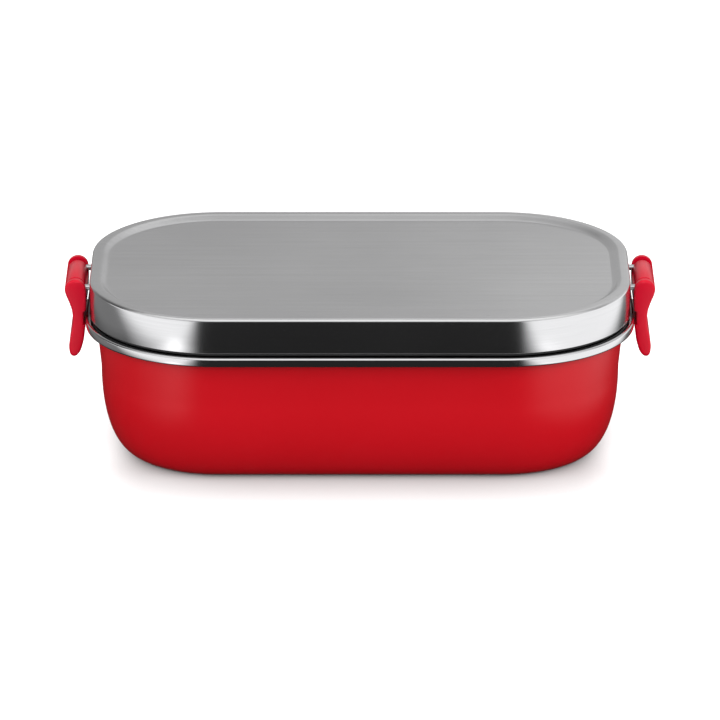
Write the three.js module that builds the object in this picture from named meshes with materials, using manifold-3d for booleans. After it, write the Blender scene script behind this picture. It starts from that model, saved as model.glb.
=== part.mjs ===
// Lunch box: a steel tub in a moulded outer shell, a lift-off steel lid with a seal, and a swinging
// latch on each end. Millimetres, +Z up, +X along the length, origin at the middle of the underside.
import * as THREE from 'three';
import { mergeVertices } from 'three/addons/utils/BufferGeometryUtils.js';
import Module from 'manifold-3d';

const wasm = await Module();
wasm.setup();

// ---- Driving sizes: the outline, which every shell follows as a parallel curve ----
const lidHalfLength = 99.5;
const lidHalfWidth = 62.9;
const lidCornerRadius = 47.2;
const cornerSteps = 7;

// ---- Driving sizes: tub and outer shell ----
const tubHeight = 51;
const rimOverhang = 1.5;
const rimHeight = 3.5;
const rimEdgeRadius = 0.8;
const rimHem = 2.7;
const wallInset = 2.6;
const wallDraftDegrees = 5.8;
const footReach = 13.7;
const footHeight = 33;
const footPower = 2.25;
const shellWall = 1.3;
const steelSheet = 0.6;
const flangeFillet = 1.2;

// ---- Driving sizes: lid and seal ----
const lidGap = 1.4;
const lidEdgeRadius = 1;
const lidBorder = 3.2;
const lidRiser = 3.8;
const panelDepth = 1.75;
const panWall = 0.5;
const panStandoff = 1.2;
const shelfHeight = 3.3;
const sealLipDepth = 3;
const sealLipHeight = 0.7;
const sealPlug = 1.2;
const sealPlugDepth = 3;
const plugClearance = 0.5;

// ---- Driving sizes: latches and their wire bails ----
const plateAboveSeal = 2.4;
const plateHeight = 5;
const plateThickness = 0.8;
const plateMargin = 2.5;
const pivotBelowTop = 5.2;
const pivotOut = 5.4;
const wireRadius = 1.1;
const wireSpread = 11.5;
const wireBend = 1.7;
const wireHeadRadius = 1.9;
const wireHeadLength = 0.8;
const cheekWidth = 2.5;
const barrelRadius = 3.4;
const skirtClearance = 1.5;
const neckDegrees = 17;
const neckOut = 2.1;
const neckDown = 5.5;
const waistOut = 1.25;
const waistAboveLip = 5;
const waistBelowLip = 1;
const bellyOut = 2.45;
const bellyLength = 7.7;
const tipLength = 2.2;
const tipMiddle = 0.6;
const tipChamfer = 0.4;
const tipCurl = 5.5;
const lipToTip = 12.3;
const lipThickness = 1;
const leverEdge = 0.6;
const leverOpens = 150;
const leverSnaps = 3;

// ---- Named clearances ----
const closeGap = 0.3;
const slotGap = 0.3;
const boreGap = 0.25;
const lipGap = 0.3;
const lipDrop = 0.5;
const rimNotch = 0.9;

// ---- Places that follow from them ----
const cornerX = lidHalfLength - lidCornerRadius;
const cornerY = lidHalfWidth - lidCornerRadius;
const rimReach = lidHalfLength + rimOverhang;
const rimLowZ = tubHeight - rimHeight;
const hemReach = rimReach - rimHem;
const wallTopReach = lidHalfLength - wallInset;
const skirtLowZ = tubHeight + lidGap;
const skirtInnerReach = lidHalfLength - steelSheet;
const shelfZ = tubHeight + closeGap + shelfHeight;
const sealTopZ = shelfZ + closeGap + sealLipHeight;
const sealReach = skirtInnerReach - closeGap;
const pivotX = lidHalfLength + pivotOut;
const pivotZ = sealTopZ + plateAboveSeal + plateHeight / 2;
const lidTopZ = pivotZ + pivotBelowTop;
const headRadius = pivotOut - skirtClearance;
const slotOuter = wireSpread + wireRadius + slotGap;
const slotInner = wireSpread - wireRadius - slotGap;
const leverHalfWidth = slotOuter + cheekWidth;

// ---- Shared tools ----
const colours = {
  lidSteel: new THREE.MeshStandardMaterial({ color: 0xb4b4b6, roughness: 0.34, metalness: 1 }),
  rimSteel: new THREE.MeshStandardMaterial({ color: 0xbcbcbe, roughness: 0.2, metalness: 1 }),
  redShell: new THREE.MeshStandardMaterial({ color: 0xc01220, roughness: 0.38, metalness: 0.1 }),
  redLatch: new THREE.MeshStandardMaterial({ color: 0xcc1430, roughness: 0.3, metalness: 0 }),
  seal: new THREE.MeshStandardMaterial({ color: 0x1a1a1b, roughness: 0.7, metalness: 0 }),
  wire: new THREE.MeshStandardMaterial({ color: 0xa9a9ab, roughness: 0.25, metalness: 1 }),
};

function named(name, geometry, material) {
  const mesh = new THREE.Mesh(geometry, material.clone());
  mesh.name = name;
  return mesh;
}

// A closed geometry as a solid that can be joined and cut.
function solid(geometry) {
  const bare = geometry.clone();
  bare.deleteAttribute('normal');
  bare.deleteAttribute('uv');
  const merged = mergeVertices(bare, 1e-4);
  const vertProperties = new Float32Array(merged.getAttribute('position').array);
  const triVerts = new Uint32Array(merged.index.array);
  return new wasm.Manifold(new wasm.Mesh({ numProp: 3, vertProperties, triVerts }));
}

function geometryOf(body) {
  const mesh = body.getMesh();
  const geometry = new THREE.BufferGeometry();
  geometry.setAttribute('position', new THREE.BufferAttribute(mesh.vertProperties, 3));
  geometry.setIndex(new THREE.BufferAttribute(mesh.triVerts, 1));
  const flat = geometry.toNonIndexed();
  flat.computeVertexNormals();
  return flat;
}

// A lathe whose columns are spread over the rounded rectangle. A profile point is [reach, height]:
// reach is the outline's half-length, and every outline keeps the same four corner centres.
function shellOf(profile) {
  const points = profile.map(([reach, z]) => new THREE.Vector2(reach, z));
  const perCorner = cornerSteps + 1;
  const geometry = new THREE.LatheGeometry(points, 4 * perCorner);
  const position = geometry.getAttribute('position');
  for (let i = 0; i < position.count; i += 1) {
    const column = Math.floor(i / points.length) % (4 * perCorner);
    const point = points[i % points.length];
    const quarter = Math.floor(column / perCorner);
    const angle = (quarter + (column % perCorner) / cornerSteps) * (Math.PI / 2);
    const radius = Math.max(point.x - cornerX, 0);
    const inward = Math.min(point.x / cornerX, 1);
    const sideX = quarter === 0 || quarter === 3 ? 1 : -1;
    const sideY = quarter < 2 ? 1 : -1;
    const x = inward * sideX * cornerX + radius * Math.cos(angle);
    const y = inward * sideY * cornerY + radius * Math.sin(angle);
    position.setXYZ(i, x, y, point.y);
  }
  return geometry;
}

// How far out along X an outline of this reach lies at a distance from the middle line.
function outlineX(reach, y) {
  const beyond = Math.max(y - cornerY, 0);
  return cornerX + Math.sqrt((reach - cornerX) ** 2 - beyond ** 2);
}

// Points along an arc in a profile, from one angle to another, both in degrees.
function arc(reach, z, radius, from, to, steps) {
  const points = [];
  for (let i = 0; i <= steps; i += 1) {
    const angle = THREE.MathUtils.degToRad(from + ((to - from) * i) / steps);
    points.push([reach + radius * Math.cos(angle), z + radius * Math.sin(angle)]);
  }
  return points;
}

// The body's outside, inset by a wall: foot blend first, then the drafted wall up to its top.
function bodySide(inset, topZ) {
  const draft = Math.tan(THREE.MathUtils.degToRad(wallDraftDegrees));
  const blendTopReach = wallTopReach - draft * (rimLowZ - footHeight) - inset;
  const blendSteps = 6;
  const points = [];
  for (let i = 0; i <= blendSteps; i += 1) {
    const angle = (i / blendSteps) * (Math.PI / 2);
    const along = Math.sin(angle) ** (2 / footPower);
    const up = 1 - Math.cos(angle) ** (2 / footPower);
    points.push([blendTopReach - footReach * (1 - along), inset + (footHeight - inset) * up]);
  }
  points.push([wallTopReach - draft * (rimLowZ - topZ) - inset, topZ]);
  return points;
}

// ---- Tub: pressed steel liner whose flange is turned down and hemmed into a flat rim band ----
const outerInset = shellWall + closeGap;
const innerInset = outerInset + steelSheet;

// The half-length of the tub's mouth where the seal's plug goes in.
function mouthReach() {
  const side = bodySide(innerInset, tubHeight - sealPlugDepth);
  return side[side.length - 1][0];
}

function tubLiner() {
  const flangeLowZ = tubHeight - steelSheet;
  const outer = bodySide(outerInset, flangeLowZ - flangeFillet);
  const inner = bodySide(innerInset, tubHeight - flangeFillet);
  const wallReach = inner[inner.length - 1][0];
  const underReach = outer[outer.length - 1][0];
  const bendIn = arc(wallReach + flangeFillet, tubHeight - flangeFillet, flangeFillet, 90, 180, 2);
  const bendOut = arc(underReach + flangeFillet, flangeLowZ - flangeFillet, flangeFillet, 180, 90, 2);
  const edgeReach = rimReach - rimEdgeRadius;
  const edgeHighZ = tubHeight - rimEdgeRadius;
  const edgeLowZ = rimLowZ + rimEdgeRadius;
  const bendInside = rimEdgeRadius - steelSheet;
  return shellOf([
    [0, outerInset],
    ...outer.slice(0, -1),
    ...bendOut,
    ...arc(edgeReach, edgeHighZ, bendInside, 90, 0, 2),
    ...arc(edgeReach, edgeLowZ, bendInside, 0, -90, 2),
    [hemReach, rimLowZ + steelSheet],
    [hemReach, rimLowZ],
    ...arc(edgeReach, edgeLowZ, rimEdgeRadius, -90, 0, 3),
    ...arc(edgeReach, edgeHighZ, rimEdgeRadius, 0, 90, 3),
    ...bendIn,
    ...inner.slice(0, -1).reverse(),
    [0, innerInset],
  ]);
}

// ---- Outer shell: moulded, flat underneath, with a collar caught inside the rim band ----
function outerShell() {
  const collarTopZ = tubHeight - steelSheet - closeGap;
  const collarReach = hemReach - closeGap;
  const outer = bodySide(0, rimLowZ);
  const inner = bodySide(shellWall, collarTopZ - flangeFillet);
  return shellOf([
    [0, 0],
    ...outer,
    [collarReach, rimLowZ + (collarReach - wallTopReach) / 2],
    [collarReach, collarTopZ],
    [inner[inner.length - 1][0] + flangeFillet, collarTopZ],
    ...inner.reverse(),
    [0, shellWall],
  ]);
}

// ---- Lid: raised border, soft riser down to the panel, and a straight skirt ----
function lidSkin(below) {
  const top = lidTopZ - below;
  const panelReach = lidHalfLength - lidBorder - lidRiser;
  const edge = Math.max(lidEdgeRadius - below, 0.2);
  const riser = [1, 0.8, 0.5, 0.2, 0].map((share) => [
    panelReach + lidRiser * share,
    top - panelDepth * (0.5 + 0.5 * Math.cos(Math.PI * share)),
  ]);
  const reach = lidHalfLength - below;
  return [[reach, skirtLowZ], ...arc(reach - edge, top - edge, edge, 0, 90, 3), ...riser, [0, top - panelDepth]];
}

// The bail's legs pass through two holes in each end of the skirt.
function bailHoles(radius, fromX, toX) {
  const holes = [];
  for (const y of [-wireSpread, wireSpread]) {
    const hole = new THREE.CylinderGeometry(radius, radius, toX - fromX, 16);
    hole.rotateZ(Math.PI / 2).translate((fromX + toX) / 2, y, pivotZ);
    holes.push(solid(hole));
  }
  return holes;
}

function lidShell() {
  let lid = solid(shellOf([...lidSkin(steelSheet).reverse(), ...lidSkin(0)]));
  const holeRadius = wireRadius + closeGap;
  for (const side of [-1, 1]) {
    const near = side * (skirtInnerReach - 1);
    const far = side * (lidHalfLength + 1);
    for (const hole of bailHoles(holeRadius, Math.min(near, far), Math.max(near, far))) {
      lid = lid.subtract(hole);
    }
  }
  return geometryOf(lid);
}

// ---- Inner pan: welded under the panel, its wall turned out into the shelf that presses the seal ----
const panReach = lidHalfLength - lidBorder - lidRiser - panStandoff;
const panTopZ = lidTopZ - steelSheet - panelDepth - closeGap;

function lidInnerPan() {
  const shelfReach = sealReach - sealLipHeight - closeGap;
  return shellOf([
    [0, panTopZ - panWall],
    [panReach - panWall, panTopZ - panWall],
    [panReach - panWall, shelfZ - panWall],
    [shelfReach, shelfZ - panWall],
    [shelfReach, shelfZ],
    [panReach, shelfZ],
    [panReach, panTopZ - panWall],
    [panReach - panWall, panTopZ],
    [0, panTopZ],
  ]);
}

// ---- Seal: a ring on the rim, a lip folded over the shelf's edge, and a plug in the tub's mouth ----
function lidGasket() {
  const lowZ = tubHeight + closeGap;
  const underZ = shelfZ - panWall - closeGap;
  const overZ = shelfZ + closeGap;
  const plugReach = mouthReach() - plugClearance;
  return shellOf([
    [plugReach - sealPlug, lowZ - sealPlugDepth],
    [plugReach, lowZ - sealPlugDepth],
    [plugReach, lowZ],
    [sealReach, lowZ],
    [sealReach, sealTopZ],
    [sealReach - sealLipDepth, sealTopZ],
    [sealReach - sealLipDepth, overZ],
    [sealReach - sealLipHeight, overZ],
    [sealReach - sealLipHeight, underZ],
    [plugReach - sealPlug, underZ],
    [plugReach - sealPlug, lowZ - sealPlugDepth],
  ]);
}

// ---- Bail: one bent wire, both ends upset behind the plate inside the skirt ----
const plateReach = skirtInnerReach - closeGap;
const plateHalfWidth = wireSpread + plateMargin;
const wireEndX = outlineX(plateReach - plateThickness, wireSpread + wireHeadRadius) - closeGap;

function bail(side) {
  const corner = new THREE.Vector3(pivotX, wireSpread, pivotZ);
  const path = new THREE.CurvePath();
  const mirrored = new THREE.Vector3(1, -1, 1);
  const start = new THREE.Vector3(wireEndX - wireHeadLength / 2, wireSpread, pivotZ);
  const beforeBend = corner.clone().setX(pivotX - wireBend);
  const afterBend = corner.clone().setY(wireSpread - wireBend);
  path.add(new THREE.LineCurve3(start, beforeBend));
  path.add(new THREE.QuadraticBezierCurve3(beforeBend, corner, afterBend));
  path.add(new THREE.LineCurve3(afterBend, afterBend.clone().multiply(mirrored)));
  const otherBend = [afterBend, corner, beforeBend].map((point) => point.clone().multiply(mirrored));
  path.add(new THREE.QuadraticBezierCurve3(...otherBend));
  path.add(new THREE.LineCurve3(otherBend[2], start.clone().multiply(mirrored)));
  const section = new THREE.Shape().absarc(0, 0, wireRadius, 0, 2 * Math.PI);
  const settings = { extrudePath: path, steps: 30, curveSegments: 5, bevelEnabled: false };
  let wire = solid(new THREE.ExtrudeGeometry(section, settings));
  for (const y of [-wireSpread, wireSpread]) {
    const head = new THREE.CylinderGeometry(wireHeadRadius, wireHeadRadius, wireHeadLength, 12);
    head.rotateZ(Math.PI / 2).translate(wireEndX - wireHeadLength / 2, y, pivotZ);
    wire = wire.add(solid(head));
  }
  return geometryOf(side > 0 ? wire : wire.rotate([0, 0, 180]));
}

// A strip of the curve just inside the skirt, so it lies flat against the steel.
function bailPlate(side) {
  const lowZ = pivotZ - plateHeight / 2;
  const highZ = pivotZ + plateHeight / 2;
  const innerReach = plateReach - plateThickness;
  const band = [[innerReach, lowZ], [plateReach, lowZ], [plateReach, highZ], [innerReach, highZ]];
  const strip = new THREE.BoxGeometry(lidHalfLength, 2 * plateHalfWidth, 2 * plateHeight);
  strip.translate(lidHalfLength, 0, pivotZ);
  let plate = solid(shellOf([...band, band[0]])).intersect(solid(strip));
  for (const hole of bailHoles(wireRadius + closeGap, plateReach - pivotOut, plateReach + pivotOut)) {
    plate = plate.subtract(hole);
  }
  return geometryOf(side > 0 ? plate : plate.rotate([0, 0, 180]));
}

// ---- Latch lever: two cheeks and a barrel on the bail, a rim notch, a lip and a finger tip ----
// The side outline is drawn in (out, down) from the pivot.
function leverOutline() {
  const lipTop = pivotZ - rimLowZ + lipDrop;
  const notchTop = pivotZ - tubHeight - 2 * closeGap;
  const tipDown = lipTop + lipToTip;
  const lipOut = rimReach + lipGap - pivotX;
  const notchOut = rimReach + rimNotch - pivotX;
  const shape = new THREE.Shape();
  shape.moveTo(-headRadius, 0);
  shape.absarc(0, 0, headRadius, Math.PI, -THREE.MathUtils.degToRad(neckDegrees), true);
  shape.splineThru([
    new THREE.Vector2(neckOut, -neckDown),
    new THREE.Vector2(waistOut, -lipTop + waistAboveLip),
    new THREE.Vector2(waistOut, -lipTop - waistBelowLip),
    new THREE.Vector2((waistOut + 2 * bellyOut) / 3, -tipDown + bellyLength),
    new THREE.Vector2(bellyOut, -tipDown + tipLength),
  ]);
  shape.quadraticCurveTo(bellyOut, -tipDown, tipMiddle, -tipDown);
  shape.lineTo(-tipMiddle, -tipDown + tipChamfer);
  shape.quadraticCurveTo(lipOut, -tipDown + tipCurl, lipOut, -lipTop - lipThickness);
  shape.lineTo(lipOut, -lipTop);
  shape.lineTo(notchOut, -lipTop);
  shape.lineTo(notchOut, -notchTop);
  shape.lineTo(-headRadius, -notchTop + notchOut + headRadius);
  return shape;
}

// A flat outline in (out, up) from the pivot, as a solid across the lever.
function acrossLever(shape, halfWidth, bevel) {
  const depth = 2 * (halfWidth - bevel);
  const settings = { depth, curveSegments: 7, bevelEnabled: bevel > 0, bevelSegments: 1 };
  Object.assign(settings, { bevelSize: bevel, bevelOffset: -bevel, bevelThickness: bevel });
  const geometry = new THREE.ExtrudeGeometry(shape, settings);
  geometry.translate(0, 0, -depth / 2).rotateX(Math.PI / 2).translate(pivotX, 0, pivotZ);
  return solid(geometry);
}

// The space a bail leg needs as the lever turns, between the cheeks and the barrel.
function legSweep() {
  const room = wireRadius + slotGap;
  const far = 3 * headRadius;
  const open = THREE.MathUtils.degToRad(180 - leverOpens);
  const shut = THREE.MathUtils.degToRad(180 + leverSnaps);
  const shape = new THREE.Shape();
  shape.absarc(0, 0, room, shut + Math.PI / 2, open - Math.PI / 2 + 2 * Math.PI);
  shape.lineTo(far * Math.cos(open) + room * Math.sin(open), far * Math.sin(open) - room * Math.cos(open));
  shape.absarc(0, 0, far, open, shut);
  shape.lineTo(far * Math.cos(shut) - room * Math.sin(shut), far * Math.sin(shut) + room * Math.cos(shut));
  return shape;
}

function latchLever(side) {
  const bore = new THREE.Shape().absarc(0, 0, wireRadius + boreGap, 0, 2 * Math.PI);
  const barrel = new THREE.Shape().absarc(0, 0, barrelRadius, 0, 2 * Math.PI);
  let lever = acrossLever(leverOutline(), leverHalfWidth, leverEdge);
  lever = lever.subtract(acrossLever(legSweep(), slotOuter, 0));
  lever = lever.add(acrossLever(barrel, slotInner, 0));
  lever = lever.subtract(acrossLever(bore, slotOuter, 0));
  return geometryOf(side > 0 ? lever : lever.rotate([0, 0, 180]));
}

// ---- The assembly ----
const lunchBox = new THREE.Group();
lunchBox.add(named('tub_liner', tubLiner(), colours.rimSteel));
lunchBox.add(named('outer_shell', outerShell(), colours.redShell));

const lid = new THREE.Group();
lid.add(named('lid_shell', lidShell(), colours.lidSteel));
lid.add(named('lid_inner_pan', lidInnerPan(), colours.rimSteel));
lid.add(named('lid_gasket', lidGasket(), colours.seal));
for (const [name, side] of [['left', -1], ['right', 1]]) {
  lid.add(named(`${name}_bail`, bail(side), colours.wire));
  lid.add(named(`${name}_bail_plate`, bailPlate(side), colours.rimSteel));
  lunchBox.add(named(`${name}_latch_lever`, latchLever(side), colours.redLatch));
}
lunchBox.add(lid);

export default lunchBox;
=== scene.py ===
import math

import bmesh
import bpy
from mathutils import Matrix, Vector


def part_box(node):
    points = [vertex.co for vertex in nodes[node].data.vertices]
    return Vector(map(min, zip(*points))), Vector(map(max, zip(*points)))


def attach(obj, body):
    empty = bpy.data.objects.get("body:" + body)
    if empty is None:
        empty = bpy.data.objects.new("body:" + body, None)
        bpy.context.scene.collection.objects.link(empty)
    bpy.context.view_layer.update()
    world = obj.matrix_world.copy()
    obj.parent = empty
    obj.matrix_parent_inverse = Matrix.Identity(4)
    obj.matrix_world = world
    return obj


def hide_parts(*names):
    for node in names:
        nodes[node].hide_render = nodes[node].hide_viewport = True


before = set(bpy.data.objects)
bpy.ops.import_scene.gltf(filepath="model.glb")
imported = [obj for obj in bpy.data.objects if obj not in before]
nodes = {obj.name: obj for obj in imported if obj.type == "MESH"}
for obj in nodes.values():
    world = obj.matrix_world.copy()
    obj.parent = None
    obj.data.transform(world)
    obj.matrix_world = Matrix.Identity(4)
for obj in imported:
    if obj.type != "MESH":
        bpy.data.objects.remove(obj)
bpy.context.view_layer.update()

mm = 0.001

# ---- Outer shell: injection-moulded red plastic around the tub, flat underneath with a large soft foot. ----
# Its wall leans out by a few degrees so that it leaves the mould, and a collar at the top is caught
# inside the steel rim. Every shell of the box is a parallel offset of one rounded rectangle.
lid_low, lid_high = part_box("lid_shell")
_, shell_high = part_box("outer_shell")
_, tub_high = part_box("tub_liner")
corner_radius = 47.2 * mm
corner_facets = 36
corner_x = lid_high.x - corner_radius
corner_y = lid_high.y - corner_radius


def rounded_slab(name, reach, low, high):
    """A flat slab with round corners, left in edit mode. Its reach is its half-length."""
    bpy.ops.object.select_all(action="DESELECT")
    bpy.ops.mesh.primitive_plane_add(size=2, location=(0, 0, low))
    slab = bpy.context.object
    slab.name = name
    slab.scale = (reach, reach - corner_x + corner_y, 1)
    bpy.ops.object.transform_apply(location=True, rotation=False, scale=True)
    bpy.ops.object.mode_set(mode="EDIT")
    bpy.ops.mesh.select_all(action="SELECT")
    bpy.ops.mesh.bevel(offset=reach - corner_x, segments=corner_facets, affect="VERTICES")
    bpy.ops.mesh.extrude_region_move(TRANSFORM_OT_translate={"value": (0, 0, high - low)})
    bpy.ops.mesh.select_all(action="SELECT")
    bpy.ops.mesh.normals_make_consistent(inside=False)
    return slab


def widest_face(slab, up):
    """Selects the largest face that looks up or down, which is the one still to be shaped."""
    nearly_level = 0.9
    bpy.ops.mesh.select_all(action="DESELECT")
    bpy.ops.mesh.select_mode(type="FACE")
    mesh = bmesh.from_edit_mesh(slab.data)
    mesh.normal_update()
    facing = [face for face in mesh.faces if face.normal.z * up > nearly_level]
    max(facing, key=lambda face: face.calc_area()).select_set(True)
    bmesh.update_edit_mesh(slab.data)


def step_inward(slab, up, profile):
    """Insets the open face from ring to ring along a profile of (reach, height) points."""
    least_inset = 1e-7
    widest_face(slab, up)
    for (reach, height), (next_reach, next_height) in zip(profile, profile[1:]):
        rise = next_height - height
        if reach - next_reach < least_inset:
            bpy.ops.mesh.extrude_region_move(TRANSFORM_OT_translate={"value": (0, 0, rise)})
        else:
            bpy.ops.mesh.inset(thickness=reach - next_reach, depth=up * rise)


sheet_smooth_angle = math.radians(35)


def finish_sheet(slab):
    """Turns all normals outwards, leaves edit mode and shades the bends smooth."""
    bpy.ops.mesh.select_all(action="SELECT")
    bpy.ops.mesh.normals_make_consistent(inside=False)
    bpy.ops.object.mode_set(mode="OBJECT")
    bpy.ops.object.shade_smooth_by_angle(angle=sheet_smooth_angle)


def arc(reach, height, radius, first, last, steps):
    """Points of a profile along an arc, between two angles in degrees."""
    turns = [math.radians(first + (last - first) * i / steps) for i in range(steps + 1)]
    return [(reach + radius * math.cos(turn), height + radius * math.sin(turn)) for turn in turns]


wall_top = 96.9 * mm
wall_top_height = 47.5 * mm
draft_angle = math.radians(5.8)
wall_lean = math.tan(draft_angle)
foot_reach = 13.7 * mm
foot_height = 33 * mm
foot_power = 2.25
foot_steps = 18
shell_wall = 1.3 * mm


def body_side(inset, top):
    """The body's side from its top down to its flat foot, moved inwards by a wall."""
    blend_top = wall_top - wall_lean * (wall_top_height - foot_height) - inset
    points = [(wall_top - wall_lean * (wall_top_height - top) - inset, top)]
    for i in range(foot_steps, -1, -1):
        turn = i / foot_steps * math.pi / 2
        along = math.sin(turn) ** (2 / foot_power)
        up = 1 - max(math.cos(turn), 0) ** (2 / foot_power)
        points.append((blend_top - foot_reach * (1 - along), inset + (foot_height - inset) * up))
    return points


collar_height = 1.5 * mm
collar_taper = 0.5 * mm
lead_in_width = 1 * mm
lead_in_height = 1.2 * mm
collar_reach = shell_high.x
collar_top = shell_high.z
collar_low = collar_top - collar_height
outer_shell = rounded_slab("red_outer_shell", collar_reach, collar_low, collar_top)
outside = body_side(0, collar_low - collar_taper)
step_inward(outer_shell, -1, [(collar_reach, collar_low), *outside])
inside = body_side(shell_wall, collar_top - lead_in_height)
lead_in = (inside[0][0] + lead_in_width, collar_top)
step_inward(outer_shell, 1, [(collar_reach, collar_top), lead_in, *inside])
finish_sheet(outer_shell)


def new_material(name):
    """A material with its node tree and its shader."""
    material = bpy.data.materials.new(name)
    material.use_nodes = True
    return material, material.node_tree, material.node_tree.nodes["Principled BSDF"]


def add_node(tree, kind, **settings):
    """A node whose sockets or properties are set by name."""
    node = tree.nodes.new(kind)
    for key, value in settings.items():
        if key in node.inputs:
            node.inputs[key].default_value = value
        else:
            setattr(node, key, value)
    return node


def wire_up(tree, *links):
    for start, end in links:
        tree.links.new(start, end)


def make_group(name, inputs, outputs):
    """An empty node group with named inputs and outputs, and its two end nodes."""
    group = bpy.data.node_groups.new(name, "ShaderNodeTree")
    for socket, kind, value in inputs:
        made = group.interface.new_socket(socket, in_out="INPUT", socket_type=kind)
        if value is not None:
            made.default_value = value
    for socket in outputs:
        group.interface.new_socket(socket, in_out="OUTPUT", socket_type="NodeSocketFloat")
    return group, group.nodes.new("NodeGroupInput"), group.nodes.new("NodeGroupOutput")


def moulded_skin_group():
    """The skin of a moulded plastic: fine orange peel, soft cloudiness and sparse hairline scuffs."""
    inputs = [("Coordinates", "NodeSocketVector", None), ("Peel", "NodeSocketFloat", 1200.0)]
    group, given, out = make_group("moulded_skin", inputs, ["Height", "Cloud", "Scuff"])
    peel = add_node(group, "ShaderNodeTexNoise", Detail=3.0, Roughness=0.6)
    cloud = add_node(group, "ShaderNodeTexNoise", Scale=28.0, Detail=4.0, Roughness=0.55)
    stretch = add_node(group, "ShaderNodeMapping")
    stretch.inputs["Rotation"].default_value = (0.3, 0.5, 0.4)
    stretch.inputs["Scale"].default_value = (60.0, 1500.0, 420.0)
    scratch = add_node(group, "ShaderNodeTexNoise", Scale=1.0, Detail=2.0, Distortion=0.3)
    keep = add_node(group, "ShaderNodeMapRange")
    keep.inputs["From Min"].default_value = 0.66
    keep.inputs["From Max"].default_value = 0.78
    wire_up(group, (given.outputs["Coordinates"], peel.inputs["Vector"]),
            (given.outputs["Peel"], peel.inputs["Scale"]),
            (given.outputs["Coordinates"], cloud.inputs["Vector"]),
            (given.outputs["Coordinates"], stretch.inputs["Vector"]),
            (stretch.outputs["Vector"], scratch.inputs["Vector"]),
            (scratch.outputs["Fac"], keep.inputs["Value"]),
            (peel.outputs["Fac"], out.inputs["Height"]),
            (cloud.outputs["Fac"], out.inputs["Cloud"]),
            (keep.outputs["Result"], out.inputs["Scuff"]))
    return group


moulded_skin = moulded_skin_group()


def mix_colours(tree, share, first, second):
    """A colour between two. A Mix node's colour sockets share their names, so they go by number."""
    mix = add_node(tree, "ShaderNodeMix", data_type="RGBA")
    mix.inputs[6].default_value = (*first, 1)
    mix.inputs[7].default_value = (*second, 1)
    tree.links.new(share, mix.inputs[0])
    return mix.outputs[2]


def moulded_finish(name, deep, light, rough, worn, peel_scale, peel_depth, gloss, wear="Scuff"):
    """Moulded plastic or rubber: cloudy colour, orange peel, and a roughness that follows its wear."""
    material, tree, shader = new_material(name)
    place = add_node(tree, "ShaderNodeTexCoord")
    skin = add_node(tree, "ShaderNodeGroup", node_tree=moulded_skin)
    skin.inputs["Peel"].default_value = peel_scale
    colour = mix_colours(tree, skin.outputs["Cloud"], deep, light)
    polish = add_node(tree, "ShaderNodeMapRange")
    polish.inputs["To Min"].default_value = rough
    polish.inputs["To Max"].default_value = worn
    bump = add_node(tree, "ShaderNodeBump", Strength=1.0, Distance=peel_depth)
    shader.inputs["Specular IOR Level"].default_value = gloss
    wire_up(tree, (place.outputs["Object"], skin.inputs["Coordinates"]),
            (colour, shader.inputs["Base Color"]),
            (skin.outputs[wear], polish.inputs["Value"]),
            (polish.outputs["Result"], shader.inputs["Roughness"]),
            (skin.outputs["Height"], bump.inputs["Height"]),
            (bump.outputs["Normal"], shader.inputs["Normal"]))
    return material


def dress(piece, material, body, node):
    """Gives a piece its material, the body it moves with and the CAD node it stands for."""
    piece.data.materials.clear()
    piece.data.materials.append(material)
    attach(piece, body)
    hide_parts(node)


shell_red = moulded_finish("satin_red_shell", (0.515, 0.002, 0.007), (0.555, 0.003, 0.010),
                           rough=0.30, worn=0.37, peel_scale=900.0, peel_depth=0.00001, gloss=0.35)
dress(outer_shell, shell_red, "tub", "outer_shell")

# ---- Tub: one deep-drawn steel pan, bright inside, whose flange is turned down and hemmed under. ----
# The hem hides the cut edge and grips the red shell's collar. Only the flat band shows while the lid is on.
rim_height = 3.5 * mm
rim_edge = 0.8 * mm
rim_hem = 2.7 * mm
sheet = 0.6 * mm
fit_gap = 0.3 * mm
flange_fillet = 1.2 * mm
rim_low = tub_high.z - rim_height
edge_reach = tub_high.x - rim_edge
hem_reach = tub_high.x - rim_hem
liner_out = shell_wall + fit_gap
liner_in = liner_out + sheet

tub = rounded_slab("steel_tub", tub_high.x, rim_low + rim_edge, tub_high.z - rim_edge)
mouth = body_side(liner_in, tub_high.z - flange_fillet)
fillet = arc(mouth[0][0] + flange_fillet, tub_high.z - flange_fillet, flange_fillet, 90, 180, 6)
step_inward(tub, 1, [*arc(edge_reach, tub_high.z - rim_edge, rim_edge, 0, 90, 8), *fillet, *mouth[1:]])
back = body_side(liner_out, tub_high.z - sheet - flange_fillet)
under_fillet = arc(back[0][0] + flange_fillet, tub_high.z - sheet - flange_fillet, flange_fillet, 90, 180, 4)
band_under = [*arc(edge_reach, rim_low + rim_edge, rim_edge, 0, -90, 6), (hem_reach, rim_low)]
step_inward(tub, -1, [*band_under, (hem_reach, tub_high.z - sheet), *under_fillet, *back[1:]])
finish_sheet(tub)


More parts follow.
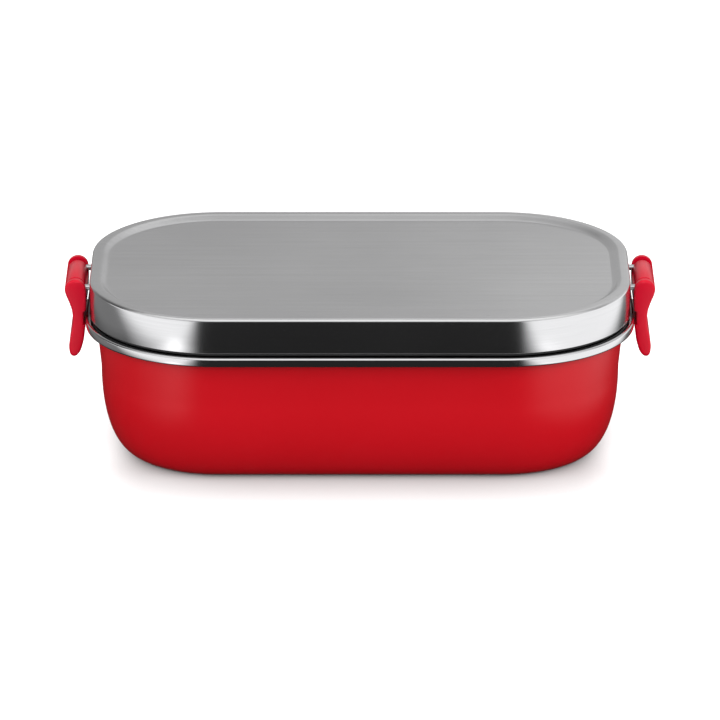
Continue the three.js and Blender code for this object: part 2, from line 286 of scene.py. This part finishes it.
def rolled_grain_group():
    """The grain of rolled and belted sheet steel: long streaks, fine lines and soft stains."""
    inputs = [("Coordinates", "NodeSocketVector", None), ("Stretch", "NodeSocketVector", None)]
    group, given, out = make_group("rolled_grain", inputs, ["Streaks", "Lines", "Stain"])
    scaled = add_node(group, "ShaderNodeVectorMath", operation="MULTIPLY")
    streaks = add_node(group, "ShaderNodeTexNoise", Scale=1.0, Detail=5.0, Roughness=0.65)
    finer = add_node(group, "ShaderNodeVectorMath", operation="SCALE")
    finer.inputs["Scale"].default_value = 4.5
    lines = add_node(group, "ShaderNodeTexNoise", Scale=1.0, Detail=4.0, Roughness=0.7)
    stain = add_node(group, "ShaderNodeTexNoise", Scale=14.0, Detail=3.0, Roughness=0.5)
    wire_up(group, (given.outputs["Coordinates"], scaled.inputs[0]),
            (given.outputs["Stretch"], scaled.inputs[1]),
            (scaled.outputs["Vector"], streaks.inputs["Vector"]),
            (scaled.outputs["Vector"], finer.inputs[0]),
            (finer.outputs["Vector"], lines.inputs["Vector"]),
            (given.outputs["Coordinates"], stain.inputs["Vector"]),
            (streaks.outputs["Fac"], out.inputs["Streaks"]),
            (lines.outputs["Fac"], out.inputs["Lines"]),
            (stain.outputs["Fac"], out.inputs["Stain"]))
    return group


rolled_grain = rolled_grain_group()


def grained_steel(name, dark, light, rough_low, rough_high, stretch, depth):
    """Sheet steel: the grain moves its colour a little, its roughness more, and cuts into its surface."""
    material, tree, shader = new_material(name)
    shader.inputs["Metallic"].default_value = 1.0
    place = add_node(tree, "ShaderNodeTexCoord")
    grain = add_node(tree, "ShaderNodeGroup", node_tree=rolled_grain)
    grain.inputs["Stretch"].default_value = stretch
    blend = add_node(tree, "ShaderNodeMath", operation="MULTIPLY_ADD")
    blend.inputs[1].default_value = 0.5
    clouded = add_node(tree, "ShaderNodeMath", operation="MULTIPLY_ADD")
    clouded.inputs[1].default_value = 1.4
    spread = add_node(tree, "ShaderNodeMapRange")
    spread.inputs["From Min"].default_value = 1.15
    spread.inputs["From Max"].default_value = 1.75
    colour = mix_colours(tree, spread.outputs["Result"], dark, light)
    polish = add_node(tree, "ShaderNodeMapRange")
    polish.inputs["From Min"].default_value = 0.3
    polish.inputs["From Max"].default_value = 0.7
    polish.inputs["To Min"].default_value = rough_low
    polish.inputs["To Max"].default_value = rough_high
    bump = add_node(tree, "ShaderNodeBump", Strength=1.0, Distance=depth)
    wire_up(tree, (place.outputs["Object"], grain.inputs["Coordinates"]),
            (grain.outputs["Lines"], blend.inputs[0]),
            (grain.outputs["Streaks"], blend.inputs[2]),
            (grain.outputs["Stain"], clouded.inputs[0]),
            (blend.outputs["Value"], clouded.inputs[2]),
            (clouded.outputs["Value"], spread.inputs["Value"]),
            (colour, shader.inputs["Base Color"]),
            (grain.outputs["Stain"], polish.inputs["Value"]),
            (polish.outputs["Result"], shader.inputs["Roughness"]),
            (blend.outputs["Value"], bump.inputs["Height"]),
            (bump.outputs["Normal"], shader.inputs["Normal"]))
    return material


liner_steel = grained_steel("bright_rolled_steel", (0.57, 0.57, 0.58), (0.62, 0.62, 0.63),
                            rough_low=0.10, rough_high=0.16, stretch=(25, 25, 2500), depth=0.000002)
dress(tub, liner_steel, "tub", "tub_liner")

# ---- Lid: pressed from one steel sheet, with a raised border, a recessed panel and a straight skirt. ----
# Each end has two holes for the legs of the latch bail. The top is belt-brushed along its length.
skirt_low = lid_low.z
lid_top = lid_high.z
lid_reach = lid_high.x
edge_radius = 1.4 * mm
hem_radius = 0.15 * mm
border_width = 3.2 * mm
riser_width = 3.8 * mm
panel_depth = 1.75 * mm
riser_steps = 14


def riser(outer_reach, top):
    """The soft S from the border down to the panel."""
    points = []
    for i in range(riser_steps + 1):
        share = i / riser_steps
        drop = panel_depth * (0.5 - 0.5 * math.cos(math.pi * share))
        points.append((outer_reach - riser_width * share, top - drop))
    return points


lid = rounded_slab("steel_lid", lid_reach, skirt_low + hem_radius, lid_top - edge_radius)
lid_edge = arc(lid_reach - edge_radius, lid_top - edge_radius, edge_radius, 0, 90, 8)
step_inward(lid, 1, [*lid_edge, *riser(lid_reach - border_width, lid_top)])
hem = arc(lid_reach - hem_radius, skirt_low + hem_radius, hem_radius, 0, -90, 3)
hem_in = arc(lid_reach - sheet + hem_radius, skirt_low + hem_radius, hem_radius, -90, -180, 3)
inner_edge = arc(lid_reach - edge_radius, lid_top - edge_radius, edge_radius - sheet, 0, 90, 3)
step_inward(lid, -1, [*hem, *hem_in, *inner_edge, *riser(lid_reach - border_width, lid_top - sheet)])
finish_sheet(lid)

bail_low, bail_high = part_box("right_bail")
wire_radius = 1.1 * mm
wire_head = 1.9 * mm
pivot_x = bail_high.x - wire_radius
pivot_z = (bail_low.z + bail_high.z) / 2
leg_y = bail_high.y - wire_head
hole_length = 4 * mm


def apply_modifiers(piece):
    """Applies a piece's modifiers in their order."""
    bpy.ops.object.select_all(action="DESELECT")
    piece.select_set(True)
    bpy.context.view_layer.objects.active = piece
    for modifier in list(piece.modifiers):
        bpy.ops.object.modifier_apply(modifier=modifier.name)


def combine(piece, other, operation):
    """Joins or cuts a piece with another, which is then removed."""
    cut = piece.modifiers.new("combine", "BOOLEAN")
    cut.operation = operation
    cut.solver = "EXACT"
    cut.object = other
    apply_modifiers(piece)
    bpy.data.objects.remove(other)


def rod_across(axis_turn, radius, length, centre, facets=40):
    """A straight rod, used as wire, barrel or drill."""
    bpy.ops.object.select_all(action="DESELECT")
    bpy.ops.mesh.primitive_cylinder_add(vertices=facets, radius=radius, depth=length, location=centre,
                                        rotation=axis_turn)
    bpy.ops.object.transform_apply(location=True, rotation=True, scale=True)
    return bpy.context.object


along_x = (0, math.pi / 2, 0)
along_y = (math.pi / 2, 0, 0)
for side in (-1, 1):
    for leg in (-1, 1):
        centre = (side * lid_reach, leg * leg_y, pivot_z)
        combine(lid, rod_across(along_x, wire_radius + fit_gap, hole_length, centre), "DIFFERENCE")
bpy.ops.object.shade_smooth_by_angle(angle=sheet_smooth_angle)

top_steel = grained_steel("brushed_lid_top", (0.55, 0.55, 0.555), (0.62, 0.62, 0.625),
                          rough_low=0.22, rough_high=0.28, stretch=(14, 900, 900), depth=0.000003)
skirt_steel = grained_steel("brushed_lid_skirt", (0.57, 0.57, 0.58), (0.62, 0.62, 0.63),
                            rough_low=0.14, rough_high=0.19, stretch=(20, 20, 1400), depth=0.000003)
dress(lid, top_steel, "lid", "lid_shell")
lid.data.materials.append(skirt_steel)
skirt_tilt = 0.3
for face in lid.data.polygons:
    face.material_index = 1 if abs(face.normal.z) < skirt_tilt else 0

# ---- Inner pan: a second thin pressing, spot-welded under the panel, whose rim is the seal's shelf. ----
# It is the bright inside of the lid, and shows only when the lid is lifted.
pan_low, pan_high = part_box("lid_inner_pan")
pan_wall = 0.5 * mm
pan_inset = 1.2 * mm
pan_bend = 0.4 * mm
pan_fillet = 1.2 * mm
pan_reach = lid_reach - border_width - riser_width - pan_inset
under_bend = pan_bend + pan_wall
shelf_top = pan_low.z + pan_wall
shoulder_reach = pan_reach - pan_fillet
shoulder_height = pan_high.z - pan_fillet
pan = rounded_slab("steel_inner_pan", pan_high.x, pan_low.z, shelf_top)
step_inward(pan, 1, [
    (pan_high.x, shelf_top),
    *arc(pan_reach + pan_bend, shelf_top + pan_bend, pan_bend, -90, -180, 4),
    *arc(shoulder_reach, shoulder_height, pan_fillet, 0, 90, 6),
])
step_inward(pan, -1, [
    (pan_high.x, pan_low.z),
    *arc(pan_reach - pan_wall + under_bend, pan_low.z + under_bend, under_bend, -90, -180, 4),
    *arc(shoulder_reach, shoulder_height, pan_fillet - pan_wall, 0, 90, 6),
])
finish_sheet(pan)
dress(pan, liner_steel, "lid", "lid_inner_pan")

# ---- Seal: a black silicone ring gripping the shelf, flat on the rim, with a plug for the tub's mouth. ----
# It is moulded in one piece, with a groove for the shelf, and fills the gap between the skirt and the rim.
seal_low, seal_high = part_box("lid_gasket")
seal_seat = tub_high.z + fit_gap
plug_clearance = 0.5 * mm
plug_wall = 1.2 * mm
plug_reach = body_side(liner_in, seal_low.z)[0][0] - plug_clearance
bore = plug_reach - plug_wall
seal_round = 0.3 * mm
seal_lip_width = 3 * mm
seal_lip_reach = seal_high.x - seal_lip_width
groove_low = pan_low.z - fit_gap
groove_high = shelf_top + fit_gap
seal = rounded_slab("silicone_seal", seal_high.x, seal_seat + seal_round, seal_high.z - seal_round)
step_inward(seal, 1, [
    *arc(seal_high.x - seal_round, seal_high.z - seal_round, seal_round, 0, 90, 3),
    *arc(seal_lip_reach + seal_round, seal_high.z - seal_round, seal_round, 90, 180, 3),
    (seal_lip_reach, groove_low), (bore, groove_low), (bore, seal_low.z),
])
bpy.ops.mesh.delete(type="FACE")
step_inward(seal, -1, [
    *arc(seal_high.x - seal_round, seal_seat + seal_round, seal_round, 0, -90, 3),
    (plug_reach, seal_seat), (plug_reach, seal_low.z), (bore, seal_low.z),
])
bpy.ops.mesh.delete(type="FACE")
bpy.ops.mesh.select_all(action="SELECT")
bpy.ops.mesh.remove_doubles(threshold=0.01 * mm)
finish_sheet(seal)
groove = rounded_slab("seal_groove", pan_high.x + fit_gap, groove_low, groove_high)
finish_sheet(groove)
combine(seal, groove, "DIFFERENCE")

black_silicone = moulded_finish("black_silicone", (0.008, 0.008, 0.009), (0.022, 0.022, 0.023),
                                rough=0.55, worn=0.75, peel_scale=2500.0, peel_depth=0.00002, gloss=0.5,
                                wear="Cloud")
dress(seal, black_silicone, "lid", "lid_gasket")

# ---- Bails: a bent steel wire on each end, its legs through the skirt and upset behind a small plate. ----
# The lever turns on the wire's straight middle. The plates inside the skirt keep their plain shape.
wire_bend = 1.7 * mm
wire_head_length = 0.8 * mm
wire_end = bail_low.x + wire_head_length / 2
quarter_circle_handle = 0.5523
bend_pull = quarter_circle_handle * wire_bend
wire_smooth_angle = math.radians(40)


def bail_wire():
    """The right bail: a curve with round bends, swept by the wire's radius, with its two upset ends."""
    curve = bpy.data.curves.new("bail_path", "CURVE")
    curve.dimensions = "3D"
    curve.bevel_depth = wire_radius
    curve.bevel_resolution = 6
    curve.resolution_u = 10
    curve.use_fill_caps = True
    spline = curve.splines.new("BEZIER")
    spline.bezier_points.add(5)
    straight = pivot_x - wire_bend
    turn_y = leg_y - wire_bend
    knots = [
        ((wire_end, leg_y), (-1, 0), (0, 0)),
        ((straight, leg_y), (-1, 0), (1, 0)),
        ((pivot_x, turn_y), (0, 1), (0, -1)),
        ((pivot_x, -turn_y), (0, 1), (0, -1)),
        ((straight, -leg_y), (1, 0), (-1, 0)),
        ((wire_end, -leg_y), (1, 0), (-1, 0)),
    ]
    for point, ((x, y), before, after) in zip(spline.bezier_points, knots):
        point.co = (x, y, pivot_z)
        point.handle_left_type = point.handle_right_type = "FREE"
        point.handle_left = (x + before[0] * bend_pull, y + before[1] * bend_pull, pivot_z)
        point.handle_right = (x + after[0] * bend_pull, y + after[1] * bend_pull, pivot_z)
    wire = bpy.data.objects.new("bail_wire", curve)
    bpy.context.scene.collection.objects.link(wire)
    bpy.ops.object.select_all(action="DESELECT")
    wire.select_set(True)
    bpy.context.view_layer.objects.active = wire
    bpy.ops.object.convert(target="MESH")
    wire = bpy.context.object
    bpy.ops.object.mode_set(mode="EDIT")
    bpy.ops.mesh.select_all(action="SELECT")
    bpy.ops.mesh.remove_doubles(threshold=0.001 * mm)
    bpy.ops.mesh.normals_make_consistent(inside=False)
    bpy.ops.object.mode_set(mode="OBJECT")
    for leg in (-1, 1):
        centre = (wire_end, leg * leg_y, pivot_z)
        combine(wire, rod_across(along_x, wire_head, wire_head_length, centre, facets=32), "UNION")
    return wire


def turned_copy(piece, name):
    """The same piece for the other end: a copy with its own mesh, turned half round the upright axis."""
    copy = piece.copy()
    copy.data = piece.data.copy()
    copy.name = name
    bpy.context.scene.collection.objects.link(copy)
    copy.data.transform(Matrix.Rotation(math.pi, 4, "Z"))
    return copy


right_wire = bail_wire()
right_wire.name = "right_bail_wire"
bpy.ops.object.shade_smooth_by_angle(angle=wire_smooth_angle)
left_wire = turned_copy(right_wire, "left_bail_wire")
wire_steel = grained_steel("drawn_wire", (0.45, 0.45, 0.46), (0.60, 0.60, 0.61),
                           rough_low=0.18, rough_high=0.28, stretch=(60, 60, 1500), depth=0.000004)
dress(right_wire, wire_steel, "lid", "right_bail")
dress(left_wire, wire_steel, "lid", "left_bail")
for side in ("left", "right"):
    plate = nodes[f"{side}_bail_plate"]
    plate.data.materials.clear()
    plate.data.materials.append(liner_steel)

# ---- Latch levers: glossy red mouldings with two thin cheeks and a barrel that turns on the bail. ----
# A leg of the bail passes through the slot between each cheek and the barrel. The inner face has a
# notch for the rim, a lip that hooks under it, and a finger tip that curls outwards.
lever_low, lever_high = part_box("right_latch_lever")
lever_half = lever_high.y
head_radius = lever_high.z - pivot_z
slot_gap = 0.3 * mm
slot_out = leg_y + wire_radius + slot_gap
slot_in = leg_y - wire_radius - slot_gap
bore_gap = 0.25 * mm
barrel_radius = 3.4 * mm
barrel_facets = 56
barrel_round = 0.35 * mm
lever_round = 1 * mm
lever_opens = math.radians(150)
lever_snaps = math.radians(3)
lever_smooth_angle = math.radians(38)
lip_drop = 0.5 * mm
lip_thickness = 1.5 * mm
notch_gap = 0.9 * mm
lip_down = pivot_z - rim_low + lip_drop
notch_down = pivot_z - tub_high.z - 2 * fit_gap
tip_down = pivot_z - lever_low.z
lip_out = tub_high.x + fit_gap - pivot_x
notch_out = tub_high.x + notch_gap - pivot_x
neck_angle = -18
neck_out = 2.1 * mm
neck_down = 5.5 * mm
waist_out = 1.25 * mm
waist_above_lip = 5 * mm
waist_below_lip = 1 * mm
belly_out = 2.45 * mm
belly_length = 7.7 * mm
tip_length = 2.2 * mm
tip_middle = 0.6 * mm
tip_round = 0.7 * mm
tip_chamfer = 0.4 * mm
curl_out = -2.5 * mm
curl_length = 4.6 * mm


def cut_out(name, knots, half_width, edge):
    """A side outline of (out, up, kind of bend) knots from the pivot, made a solid across the lever."""
    curve = bpy.data.curves.new(name, "CURVE")
    curve.dimensions = "2D"
    curve.fill_mode = "BOTH"
    curve.resolution_u = 10
    curve.extrude = half_width - edge
    curve.bevel_depth = edge
    curve.bevel_resolution = 4
    curve.offset = -edge
    spline = curve.splines.new("BEZIER")
    spline.use_cyclic_u = True
    spline.bezier_points.add(len(knots) - 1)
    for point, (out, up, kind) in zip(spline.bezier_points, knots):
        point.co = (out, up, 0)
        point.handle_left_type = point.handle_right_type = kind
    piece = bpy.data.objects.new(name, curve)
    bpy.context.scene.collection.objects.link(piece)
    bpy.ops.object.select_all(action="DESELECT")
    piece.select_set(True)
    bpy.context.view_layer.objects.active = piece
    bpy.ops.object.convert(target="MESH")
    piece = bpy.context.object
    piece.data.transform(Matrix.Translation((pivot_x, 0, pivot_z)) @ Matrix.Rotation(math.pi / 2, 4, "X"))
    bpy.ops.object.mode_set(mode="EDIT")
    bpy.ops.mesh.select_all(action="SELECT")
    bpy.ops.mesh.remove_doubles(threshold=0.002 * mm)
    bpy.ops.mesh.normals_make_consistent(inside=False)
    bpy.ops.object.mode_set(mode="OBJECT")
    return piece


def round_knots(radius, first, last, steps):
    """Knots along an arc about the pivot, between two angles in degrees."""
    turns = [math.radians(first + (last - first) * i / steps) for i in range(steps + 1)]
    return [(radius * math.cos(turn), radius * math.sin(turn), "AUTO") for turn in turns]


def lever_blank():
    """The lever's side: round head, neck, waist, belly, curled tip, and on the inside the lip and notch."""
    knots = [
        *round_knots(head_radius, 180, neck_angle, 9),
        (neck_out, -neck_down, "AUTO"),
        (waist_out, -lip_down + waist_above_lip, "AUTO"),
        (waist_out, -lip_down - waist_below_lip, "AUTO"),
        ((waist_out + 2 * belly_out) / 3, -tip_down + belly_length, "AUTO"),
        (belly_out, -tip_down + tip_length, "AUTO"),
        (belly_out - tip_round, -tip_down + tip_chamfer, "AUTO"),
        (tip_middle, -tip_down, "AUTO"),
        (-tip_round, -tip_down + tip_round, "AUTO"),
        (curl_out, -tip_down + curl_length, "AUTO"),
        (lip_out, -lip_down - lip_thickness, "VECTOR"),
        (lip_out, -lip_down, "VECTOR"),
        (notch_out, -lip_down, "VECTOR"),
        (notch_out, -notch_down, "VECTOR"),
        (-head_radius, -notch_down + notch_out + head_radius, "VECTOR"),
    ]
    return cut_out("lever", knots, lever_half, lever_round)


def leg_slots():
    """The room that the bail's legs sweep as the lever turns from snapped to fully open."""
    room = wire_radius + slot_gap
    far = 3 * head_radius
    opened = math.pi - lever_opens
    snapped = math.pi + lever_snaps
    first = snapped + math.pi / 2
    last = opened + 3 * math.pi / 2
    steps = 6
    knots = []
    for i in range(steps + 1):
        turn = first + (last - first) * i / steps
        knots.append((room * math.cos(turn), room * math.sin(turn), "VECTOR"))
    for turn, lean in ((opened, -math.pi / 2), (snapped, math.pi / 2)):
        edge_out = far * math.cos(turn) + room * math.cos(turn + lean)
        edge_up = far * math.sin(turn) + room * math.sin(turn + lean)
        knots.append((edge_out, edge_up, "VECTOR"))
        if turn == opened:
            knots += [(far, 2 * far, "VECTOR"), (-far, 2 * far, "VECTOR")]
    return cut_out("leg_slots", knots, slot_out, 0)


lever = lever_blank()
combine(lever, leg_slots(), "DIFFERENCE")
pivot = (pivot_x, 0, pivot_z)
barrel = rod_across(along_y, barrel_radius, 2 * slot_in, pivot, facets=barrel_facets)
soften = barrel.modifiers.new("soften", "BEVEL")
soften.width = barrel_round
soften.segments = 3
soften.limit_method = "ANGLE"
soften.angle_limit = math.radians(50)
apply_modifiers(barrel)
combine(lever, barrel, "UNION")
combine(lever, rod_across(along_y, wire_radius + bore_gap, 2 * slot_out, pivot), "DIFFERENCE")
bpy.ops.object.shade_smooth_by_angle(angle=lever_smooth_angle)
lever.name = "right_lever"
left_lever = turned_copy(lever, "left_lever")
latch_red = moulded_finish("glossy_red_latch", (0.54, 0.002, 0.017), (0.58, 0.003, 0.023),
                           rough=0.28, worn=0.38, peel_scale=1400.0, peel_depth=0.00001, gloss=0.24)
dress(lever, latch_red, "right_latch", "right_latch_lever")
dress(left_lever, latch_red, "left_latch", "left_latch_lever")

# ---- Stage: a white floor and backdrop, soft lamps, and cards that only reflections see. ----
# The floor is painted by where a reflection lands on it: a dark wedge in front of the box, bright corners
# on both sides of the wedge, grey farther out. Levels are emission strengths; places are in metres.
# Pairs are the two ends of a span, or what holds at its two ends.
floor_size = 8
wedge_half_width = 0.056
wedge_narrowing = 0.27
wedge_edge = (-0.018, 0.038)
dark_level = 0.026
corner_level = 1.41
corner_fade = (-0.14, -0.01)
fade_forward = 0.075
fade_slope = 0.30
outer_start = 0.10
outer_slopes = (0.15, 1.4)
close_band = (-0.165, -0.13)
close_width = (0.12, 0.16)
close_lifts = (1.2, 0.25)
side_fade = (0.14, 0.22)
side_levels = (0.03, 0.26)
left_to_right = (-0.05, 0.05)
# Near the box, ambient occlusion darkens the floor's white glow to the camera: a painted shadow over the real
# one.
painted_shadow_reach = 0.03
seen_level = 0.77
seen_colour = 0.35
bounce_colour = 0.30
# Beside the box's two ends, the floor's glow to the camera is raised: painted light that clears the shadow
# there.
painted_end_light_level = 0.45
painted_end_light_width = (0.078, 0.098)
painted_end_light_depth = (-0.060, -0.020)
painted_end_light_shares = (0.3, 1.0)


def ramp(tree, value, span, levels):
    """A value carried from one span to another, soft at both ends."""
    node = add_node(tree, "ShaderNodeMapRange", interpolation_type="SMOOTHSTEP")
    for socket, setting in zip(("From Min", "From Max", "To Min", "To Max"), (*span, *levels)):
        node.inputs[socket].default_value = setting
    tree.links.new(value, node.inputs["Value"])
    return node.outputs["Result"]


def compute(tree, operation, *values):
    """One step of arithmetic on sockets or numbers."""
    node = add_node(tree, "ShaderNodeMath", operation=operation)
    for socket, value in zip(node.inputs, values):
        if isinstance(value, bpy.types.NodeSocket):
            tree.links.new(value, socket)
        else:
            socket.default_value = value
    return node.outputs["Value"]


def place_parts(tree, coordinates):
    """The sockets X, Y and Z of a kind of coordinates."""
    parts = add_node(tree, "ShaderNodeSeparateXYZ")
    tree.links.new(add_node(tree, "ShaderNodeTexCoord").outputs[coordinates], parts.inputs["Vector"])
    return parts.outputs


def glowing_material(name):
    """A matt surface with no gloss of its own, ready to glow white."""
    material, tree, shader = new_material(name)
    shader.inputs["Roughness"].default_value = 0.9
    shader.inputs["Specular IOR Level"].default_value = 0.0
    shader.inputs["Emission Color"].default_value = (1, 1, 1, 1)
    return material, tree, shader


def reflected_cards(tree, x, y):
    """What a reflection sees on the floor."""
    aside = compute(tree, "ABSOLUTE", x)
    edge = compute(tree, "MULTIPLY_ADD", y, wedge_narrowing, -wedge_half_width)
    past_wedge = compute(tree, "ADD", aside, edge)
    beside = ramp(tree, past_wedge, wedge_edge, (0.0, 1.0))
    outer = compute(tree, "MAXIMUM", compute(tree, "SUBTRACT", aside, outer_start), 0.0)
    outward = compute(tree, "MULTIPLY", outer, ramp(tree, x, left_to_right, outer_slopes))
    pull = compute(tree, "MULTIPLY_ADD", aside, fade_slope, outward)
    reach = compute(tree, "ADD", compute(tree, "SUBTRACT", y, pull), fade_forward)
    close = compute(tree, "MULTIPLY", ramp(tree, y, close_band, (0.0, 1.0)),
                    ramp(tree, aside, close_width, (1.0, 0.0)))
    lift = compute(tree, "MULTIPLY_ADD", close, ramp(tree, x, left_to_right, close_lifts), 1.0)
    corner = compute(tree, "MULTIPLY", ramp(tree, reach, corner_fade, (corner_level, 0.0)), lift)
    side = ramp(tree, aside, side_fade, side_levels)
    bright = compute(tree, "MULTIPLY", beside, compute(tree, "MAXIMUM", corner, side))
    return compute(tree, "MAXIMUM", bright, dark_level)


def floor_paint():
    """White to the camera, with the box's soft shadow partly real and partly painted, and painted light
    beside its ends; pale to bounced light, cards to reflections.
    """
    material, tree, shader = glowing_material("floor_white")
    place = place_parts(tree, "Object")
    x, y = place["X"], place["Y"]
    path = add_node(tree, "ShaderNodeLightPath")
    seen = path.outputs["Is Camera Ray"]
    # Painted shadow: ambient occlusion darkens the camera's white glow near the box.
    painted_contact_shadow = add_node(tree, "ShaderNodeAmbientOcclusion", samples=8, Distance=painted_shadow_reach)
    # Painted light: the camera's glow rises beside the box's ends.
    ends = compute(tree, "MULTIPLY", ramp(tree, compute(tree, "ABSOLUTE", x), painted_end_light_width, (0.0, painted_end_light_level)),
                   ramp(tree, y, painted_end_light_depth, painted_end_light_shares))
    white = compute(tree, "MULTIPLY_ADD", painted_contact_shadow.outputs["AO"], seen_level, ends)
    cards = compute(tree, "MULTIPLY", path.outputs["Is Glossy Ray"], reflected_cards(tree, x, y))
    glow = compute(tree, "MULTIPLY_ADD", seen, white, cards)
    bounced = compute(tree, "MULTIPLY", path.outputs["Is Diffuse Ray"], bounce_colour)
    base = compute(tree, "MULTIPLY_ADD", seen, seen_colour, bounced)
    wire_up(tree, (glow, shader.inputs["Emission Strength"]), (base, shader.inputs["Base Color"]))
    return material


bpy.ops.object.select_all(action="DESELECT")
bpy.ops.mesh.primitive_plane_add(size=floor_size, location=(0, 0, 0))
floor = bpy.context.object
floor.name = "floor"
floor.data.materials.append(floor_paint())

# ---- Back card: a grey board behind the box that only reflections see. ----
# The lid's flat top mirrors it, a little brighter towards the right end.
card_place = (0, 0.5, 0.25)
card_size = (1.0, 0.4)
card_base_levels = (0.53, 0.55)
card_base_span = (-0.16, 0.02)
card_right_level = 0.21
card_right_span = (0.01, 0.14)


def card_paint():
    """Black but for its glow, which rises from left to right."""
    material, tree, shader = glowing_material("card_grey")
    shader.inputs["Base Color"].default_value = (0, 0, 0, 1)
    x = place_parts(tree, "Object")["X"]
    level = compute(tree, "ADD", ramp(tree, x, card_right_span, (0.0, card_right_level)),
                    ramp(tree, x, card_base_span, card_base_levels))
    tree.links.new(level, shader.inputs["Emission Strength"])
    return material


bpy.ops.mesh.primitive_plane_add(size=1, location=card_place, rotation=along_y)
back_card = bpy.context.object
back_card.name = "back_card"
back_card.scale = (*card_size, 1)
bpy.ops.object.transform_apply(location=True, rotation=True, scale=True)
back_card.data.materials.append(card_paint())
back_card.visible_camera = False
back_card.visible_diffuse = False
back_card.visible_shadow = False
back_card.visible_transmission = False

# ---- Lamps: five soft squares that face the box, none of them seen in reflections. ----
# The right one is a little stronger than the left one, as the box's right end is the brighter.
look_at = Vector((0, 0, 0.028))


def soft_lamp(name, place, size, power):
    """A square soft lamp that faces the box."""
    lamp = bpy.data.lights.new(name, "AREA")
    lamp.shape = "SQUARE"
    lamp.size = size
    lamp.energy = power
    holder = bpy.data.objects.new(name, lamp)
    holder.location = place
    holder.rotation_euler = (look_at - Vector(place)).to_track_quat("-Z", "Y").to_euler()
    holder.visible_glossy = False
    bpy.context.scene.collection.objects.link(holder)


soft_lamp("overhead_lamp", place=(0.0, 0.1, 1.6), size=1.4, power=8)
soft_lamp("front_lamp", place=(0.0, -2.0, 0.7), size=1.2, power=18.5)
soft_lamp("left_lamp", place=(-1.6, -0.7, 0.9), size=0.9, power=15)
soft_lamp("right_lamp", place=(1.6, -0.7, 0.9), size=0.9, power=20)
soft_lamp("back_lamp", place=(0.0, 1.9, 1.0), size=1.2, power=7)

# ---- Sky: white to the camera, an even soft light on the box, and a room of soft boxes to reflections. ----
# Spans are parts of a direction from the box, from -1 to 1. Light sampling sees no kind of ray, so the
# soft level is what the strength falls back to.
soft_level = 0.5
behind_span = (-0.45, 0.75)
behind_levels = (0.10, 0.58)
right_gain = 0.80
overhead_span = (0.45, 0.95)
overhead_level = 0.40
front_box_rise = (0.16, 0.36)
front_box_fade = (-0.40, 0.0)
front_box_level = 1.05
side_box_spread = (0.25, 0.55)
side_box_fade = (-0.25, 0.10)
side_box_level = 0.8

world = bpy.data.worlds.new("studio")
world.use_nodes = True
bpy.context.scene.world = world
sky = world.node_tree
backdrop = sky.nodes["Background"]
backdrop.inputs["Color"].default_value = (1, 1, 1, 1)
sky_path = add_node(sky, "ShaderNodeLightPath")
toward = place_parts(sky, "Generated")
to_x, to_y, to_z = toward["X"], toward["Y"], toward["Z"]
across = compute(sky, "MULTIPLY_ADD", to_x, right_gain, 1.0)
behind = compute(sky, "MULTIPLY", ramp(sky, to_y, behind_span, behind_levels), across)
overhead = ramp(sky, to_z, overhead_span, (0.0, overhead_level))
front_box = compute(sky, "MULTIPLY", ramp(sky, to_z, front_box_rise, (0.0, 1.0)),
                    ramp(sky, to_y, front_box_fade, (front_box_level, 0.0)))
sideways = compute(sky, "ABSOLUTE", to_x)
side_box = compute(sky, "MULTIPLY", ramp(sky, sideways, side_box_spread, (0.0, side_box_level)),
                   ramp(sky, to_y, side_box_fade, (1.0, 0.0)))
boxes = compute(sky, "MAXIMUM", front_box, side_box)
reflected = compute(sky, "ADD", behind, compute(sky, "ADD", overhead, boxes))
extra_reflected = compute(sky, "SUBTRACT", reflected, soft_level)
glossy_part = compute(sky, "MULTIPLY", sky_path.outputs["Is Glossy Ray"], extra_reflected)
camera_part = compute(sky, "MULTIPLY", sky_path.outputs["Is Camera Ray"], 1 - soft_level)
strength = compute(sky, "ADD", compute(sky, "ADD", glossy_part, camera_part), soft_level)
sky.links.new(strength, backdrop.inputs["Strength"])

# ---- Camera: a long lens, square on to the front and looking down on the lid. ----
# From this far away the box's far edge is hardly narrower than its near one.
camera_rise = math.radians(19.35)
camera_distance = 2.5
focal_length = 336.3
sensor_width = 36
lens = bpy.data.cameras.new("camera")
lens.sensor_width = sensor_width
lens.lens = focal_length
lens.clip_end = 20
camera = bpy.data.objects.new("camera", lens)
camera.location = look_at + camera_distance * Vector((0, -math.cos(camera_rise), math.sin(camera_rise)))
camera.rotation_euler = (math.pi / 2 - camera_rise, 0, 0)
bpy.context.scene.collection.objects.link(camera)
bpy.context.scene.camera = camera
bpy.context.scene.view_settings.view_transform = "Standard"
